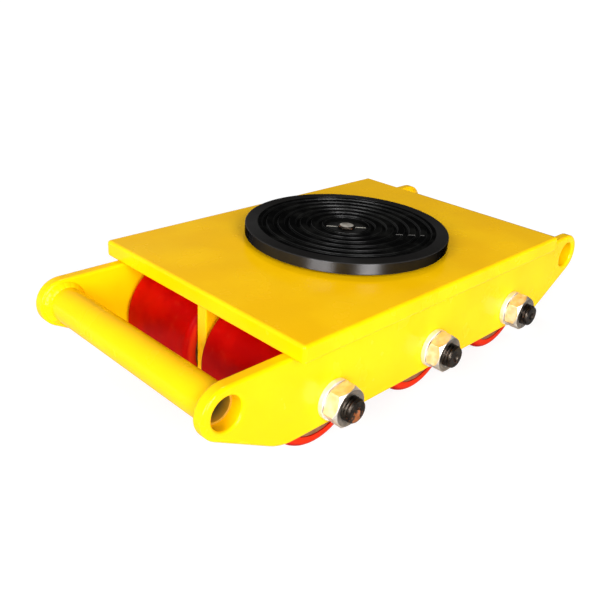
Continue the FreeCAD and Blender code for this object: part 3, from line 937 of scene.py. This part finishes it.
@dataclass(frozen=True)
class Rollers:
    """The six treads, with their wide round shoulders. They stand on the floor."""

    radius: float = AXLES.height
    core: float = 35.0
    half_length: float = 39.0
    shoulder: float = 5.5

    def tread(self, row: Row, side: Side) -> None:
        """Makes one tread."""
        centre = Vector((AXLES.x(row), side.value * AXLES.roller_y, AXLES.height))
        outline = [(self.core, -self.half_length), (self.radius, -self.half_length),
                   (self.radius, self.half_length), (self.core, self.half_length)]
        bm = lathe(outline, centre, Axis.Y, steps=144)
        middle = (self.core + self.radius) / 2

        def outer(edge: bmesh.types.BMEdge) -> bool:
            """Tells whether an edge lies on the running face."""
            return all(Axis.Y.polar(vert.co / MM - centre)[0] > middle for vert in edge.verts)

        round_off(bm, self.shoulder, segments=10, chosen=outer)
        label = f"{row.label}_{side.label}"
        make_piece(f"tyre_{label}", bm, [TREAD], f"roller_{label}", f"tread_{label}")

    def build(self) -> None:
        """Makes every tread."""
        for row in Row:
            for side in Side:
                self.tread(row, side)


@dataclass(frozen=True)
class Turntable:
    """The ribbed pad, and the pivot's keeper and bolt in the middle of it."""

    pad_outer: float = 71.8
    pad_hole: float = 18.0
    pad_bottom: float = 110.7
    top: float = PAD_TOP
    grooves: int = 6
    groove_pitch: float = 9.0
    groove_width: float = 3.5
    groove_depth: float = 1.8
    outer_band: float = 3.5
    rib_inner_edge: float = 0.8
    rib_outer_edge: float = 0.55
    keeper: float = 16.5
    keeper_bore: float = 4.1
    keeper_bottom: float = 109.6
    keeper_top: float = KEEPER_TOP
    keeper_edge: float = 0.3
    bolt_turn: float = 15.0
    bolt: Hexagon = Hexagon(13.0, 2.6, shank=4.0, shank_length=12.0, chamfer=30.0, face_share=0.85,
                            face_from=0.95)

    def pad(self) -> None:
        """Turns the pad with its grooves. Its ribs are rounder on the side towards the pivot."""
        floor = self.top - self.groove_depth
        outline = [(self.pad_hole, self.pad_bottom), (self.pad_outer, self.pad_bottom),
                   (self.pad_outer, self.top)]
        first = self.pad_outer - self.outer_band
        walls = [first - index * self.groove_pitch for index in range(self.grooves)]
        for outer in walls:
            inner = outer - self.groove_width
            outline += [(outer, self.top), (outer, floor), (inner, floor), (inner, self.top)]
        outline.append((self.pad_hole, self.top))
        bm = lathe(outline, (0.0, 0.0, 0.0), Axis.Z, steps=192)

        def inward(edge: bmesh.types.BMEdge) -> bool:
            """Tells whether an edge lies on a groove's outer wall."""
            out, _, _ = Axis.Z.polar(edge.verts[0].co / MM)
            return any(abs(out - wall) < SAME for wall in walls)

        round_off(bm, self.rib_inner_edge, chosen=inward)
        round_off(bm, self.rib_outer_edge)
        make_piece("ribbed_pad", bm, [RUBBER], "turntable", "turntable_pad")

    def pivot(self) -> None:
        """Makes the keeper disc and the bolt through it."""
        ring = [(self.keeper_bore, self.keeper_bottom), (self.keeper, self.keeper_bottom),
                (self.keeper, self.keeper_top), (self.keeper_bore, self.keeper_top)]
        bm = lathe(ring, (0.0, 0.0, 0.0), Axis.Z, steps=96)
        round_off(bm, self.keeper_edge)
        # The keeper's finish carries the painted glint line
        make_piece("pivot_keeper", bm, [PAINTED_GLINT_KEEPER], "frame", "pivot_washer")
        bm = self.bolt.mesh((0.0, 0.0, self.keeper_top), Axis.Z, 1, self.bolt_turn)
        make_piece("pivot_bolt_head", bm, [OXIDE, WORN_HEAD], "frame", "pivot_bolt")

    def build(self) -> None:
        """Makes the pad and the pivot's visible pieces."""
        self.pad()
        self.pivot()


@dataclass(frozen=True)
class PhotoCamera:
    """The photograph's view. Angles are in degrees."""

    azimuth: float = -49.74
    elevation: float = 20.34
    distance: float = 602.6
    aim_height: float = 102.0
    pan: float = 3.41
    tilt: float = 5.03
    roll: float = 3.78
    lens: float = 44.12
    sensor: float = 36.0
    clip_start: float = 10.0

    @staticmethod
    def backwards(azimuth: float, elevation: float) -> Vector:
        """The direction from the object to a viewer at these angles."""
        a, e = math.radians(azimuth), math.radians(elevation)
        return Vector((math.sin(a) * math.cos(e), -math.cos(a) * math.cos(e), math.sin(e)))

    def place(self) -> None:
        """Makes the camera and makes it the scene's."""
        back = self.backwards(self.azimuth + self.pan, self.elevation + self.tilt)
        side = math.radians(self.azimuth + self.pan)
        right = Vector((math.cos(side), math.sin(side), 0))
        up = back.cross(right)
        turn = math.radians(self.roll)
        x_axis = right * math.cos(turn) + up * math.sin(turn)
        y_axis = up * math.cos(turn) - right * math.sin(turn)
        eye = Vector((0, 0, self.aim_height)) + self.backwards(self.azimuth, self.elevation) * self.distance
        data = bpy.data.cameras.new("photo_camera")
        data.lens = self.lens
        data.sensor_width = self.sensor
        data.clip_start = self.clip_start * MM
        camera = bpy.data.objects.new("photo_camera", data)
        turned = Matrix((x_axis, y_axis, back)).transposed().to_4x4()
        camera.matrix_world = Matrix.Translation(eye * MM) @ turned
        bpy.context.scene.collection.objects.link(camera)
        bpy.context.scene.camera = camera


@dataclass(frozen=True)
class Softbox:
    """A studio lamp that faces the skate. Angles in degrees, lengths in metres, power in watts."""

    name: str
    azimuth: float
    elevation: float
    power: float
    distance: float = 3.5
    width: float = 1.5
    height: float = 2.2
    aim_height: float = 0.05

    def place(self) -> None:
        """Makes the lamp."""
        data = bpy.data.lights.new(self.name, "AREA")
        data.shape = "RECTANGLE"
        data.size = self.width
        data.size_y = self.height
        data.energy = self.power
        lamp = bpy.data.objects.new(self.name, data)
        direction = PhotoCamera.backwards(self.azimuth, self.elevation)
        lamp.location = direction * self.distance + Vector((0, 0, self.aim_height))
        lamp.rotation_euler = direction.to_track_quat("Z", "Y").to_euler()
        bpy.context.scene.collection.objects.link(lamp)


@dataclass(frozen=True)
class Studio:
    """A white paper floor, a dim room, two soft lamps beside the camera and a small one above. Metres."""

    floor_radius: float = 40.0
    shadow_reach: float = 0.4
    white_from: float = 0.85
    shadow_glow: float = 0.8
    painted_shade_glow: float = 0.12
    footprint: Point = (0.2, 0.1, 0.0)
    footprint_fade: float = 0.8
    right: Point = (0.8, -0.6, 0.0)
    right_glow: float = 0.3
    paper: str = "#DCDCDC"
    faint_paper: str = "#909090"
    left: Point = (-0.6, 0.8, 0.0)
    left_from: float = 0.08
    left_full: float = 0.6
    room_dark: float = 0.08
    room_light: float = 0.4
    lamps: tuple[Softbox, ...] = (
        Softbox("front_softbox", -73, 19, 123.0),
        Softbox("side_softbox", -22, 19, 152.0, width=1.2),
        Softbox("ceiling_lamp", 130, 72, 9.0, 2.5, 0.3, 0.3),
    )

    def floor_material(self) -> bpy.types.Material:
        """White paper that keeps the shadow.

        The camera sees it as white beyond the shadow. Reflections see it dimmer under the skate, a painted
        shade there, and dimmer to its right.
        """
        material = bpy.data.materials.new("studio_paper")
        material.use_nodes = True
        tree = material.node_tree
        tree.nodes.clear()
        add = functools.partial(add_node, tree)
        place = add("TexCoord", output="Object")
        away = add("VectorMath", {0: place}, "Value", operation="LENGTH")
        glow = add("MapRange", {"Value": away, "From Min": self.shadow_reach, "From Max": self.white_from,
                                "To Min": self.shadow_glow, "To Max": 1.0})
        inside = add("VectorMath", {0: place}, operation="ABSOLUTE")
        outside = add("VectorMath", {0: inside, 1: self.footprint}, operation="SUBTRACT")
        beyond = add("VectorMath", {0: outside, 1: (0, 0, 0)}, operation="MAXIMUM")
        clear = add("VectorMath", {0: beyond}, "Value", operation="LENGTH")
        # Painted shade: reflections see the paper darker under the skate's footprint
        under = add("MapRange", {"Value": clear, "From Max": self.footprint_fade, "To Min": self.painted_shade_glow,
                                 "To Max": 1.0})
        rightness = add("VectorMath", {0: place, 1: self.right}, "Value", operation="DOT_PRODUCT")
        fall = add("MapRange", {"Value": rightness, "From Max": self.shadow_reach, "To Min": 1.0,
                                "To Max": self.right_glow})
        dimmed = add("Math", {0: under, 1: fall}, operation="MULTIPLY")
        kept = add("Math", {0: add("LightPath", output="Is Camera Ray"), 1: dimmed}, operation="MAXIMUM")
        level = add("Math", {0: glow, 1: kept}, operation="MULTIPLY")
        plain = add("BsdfDiffuse", {"Color": linear(self.paper)})
        faint = add("BsdfDiffuse", {"Color": linear(self.faint_paper)})
        white = add("AddShader", {0: faint, 1: add("Emission", {"Strength": level})})
        seen = add("LightPath", output="Is Camera Ray")
        for other in ("Is Glossy Ray", "Is Transmission Ray"):
            seen = add("Math", {0: seen, 1: add("LightPath", output=other)}, operation="MAXIMUM")
        add("OutputMaterial", {"Surface": add("MixShader", {"Fac": seen, 1: plain, 2: white})})
        return material

    def room(self) -> bpy.types.World:
        """A dim room, lighter towards its left wall. The camera sees it as white."""
        world = bpy.data.worlds.new("studio_room")
        world.use_nodes = True
        tree = world.node_tree
        tree.nodes.clear()
        add = functools.partial(add_node, tree)
        way = add("TexCoord", output="Generated")
        leftness = add("VectorMath", {0: way, 1: self.left}, "Value", operation="DOT_PRODUCT")
        level = add("MapRange", {"Value": leftness, "From Min": self.left_from, "From Max": self.left_full,
                                 "To Min": self.room_dark, "To Max": self.room_light},
                    interpolation_type="SMOOTHSTEP")
        seen = add("Math", {0: level, 1: add("LightPath", output="Is Camera Ray")}, operation="MAXIMUM")
        add("OutputWorld", {"Surface": add("Background", {"Color": linear("#FFFFFF"), "Strength": seen})})
        return world

    def place(self) -> None:
        """Makes the floor, the room and the lamps."""
        bm = bmesh.new()
        bmesh.ops.create_circle(bm, cap_ends=True, segments=96, radius=self.floor_radius)
        mesh = bpy.data.meshes.new("studio_floor")
        bm.to_mesh(mesh)
        bm.free()
        mesh.materials.append(self.floor_material())
        floor = bpy.data.objects.new("studio_floor", mesh)
        bpy.context.scene.collection.objects.link(floor)
        bpy.context.scene.world = self.room()
        for lamp in self.lamps:
            lamp.place()


def dress_cad_nodes() -> None:
    """Gives every CAD node the finish of its material slot."""
    for name, node in frame["nodes"].items():
        node.data.materials.clear()
        node.data.materials.append(FINISHES[SLOT_OF[name]].material())
        log.info("dressed %s in %s", name, SLOT_OF[name].value)


def main() -> None:
    """Builds the studio, the camera and the pieces, in order."""
    bpy.context.scene.view_settings.view_transform = "Standard"
    PhotoCamera().place()
    Studio().place()
    WeldedFrame().build()
    AxleSet().build()
    Rollers().build()
    Turntable().build()
    dress_cad_nodes()


if __name__ == "__main__":
    main()
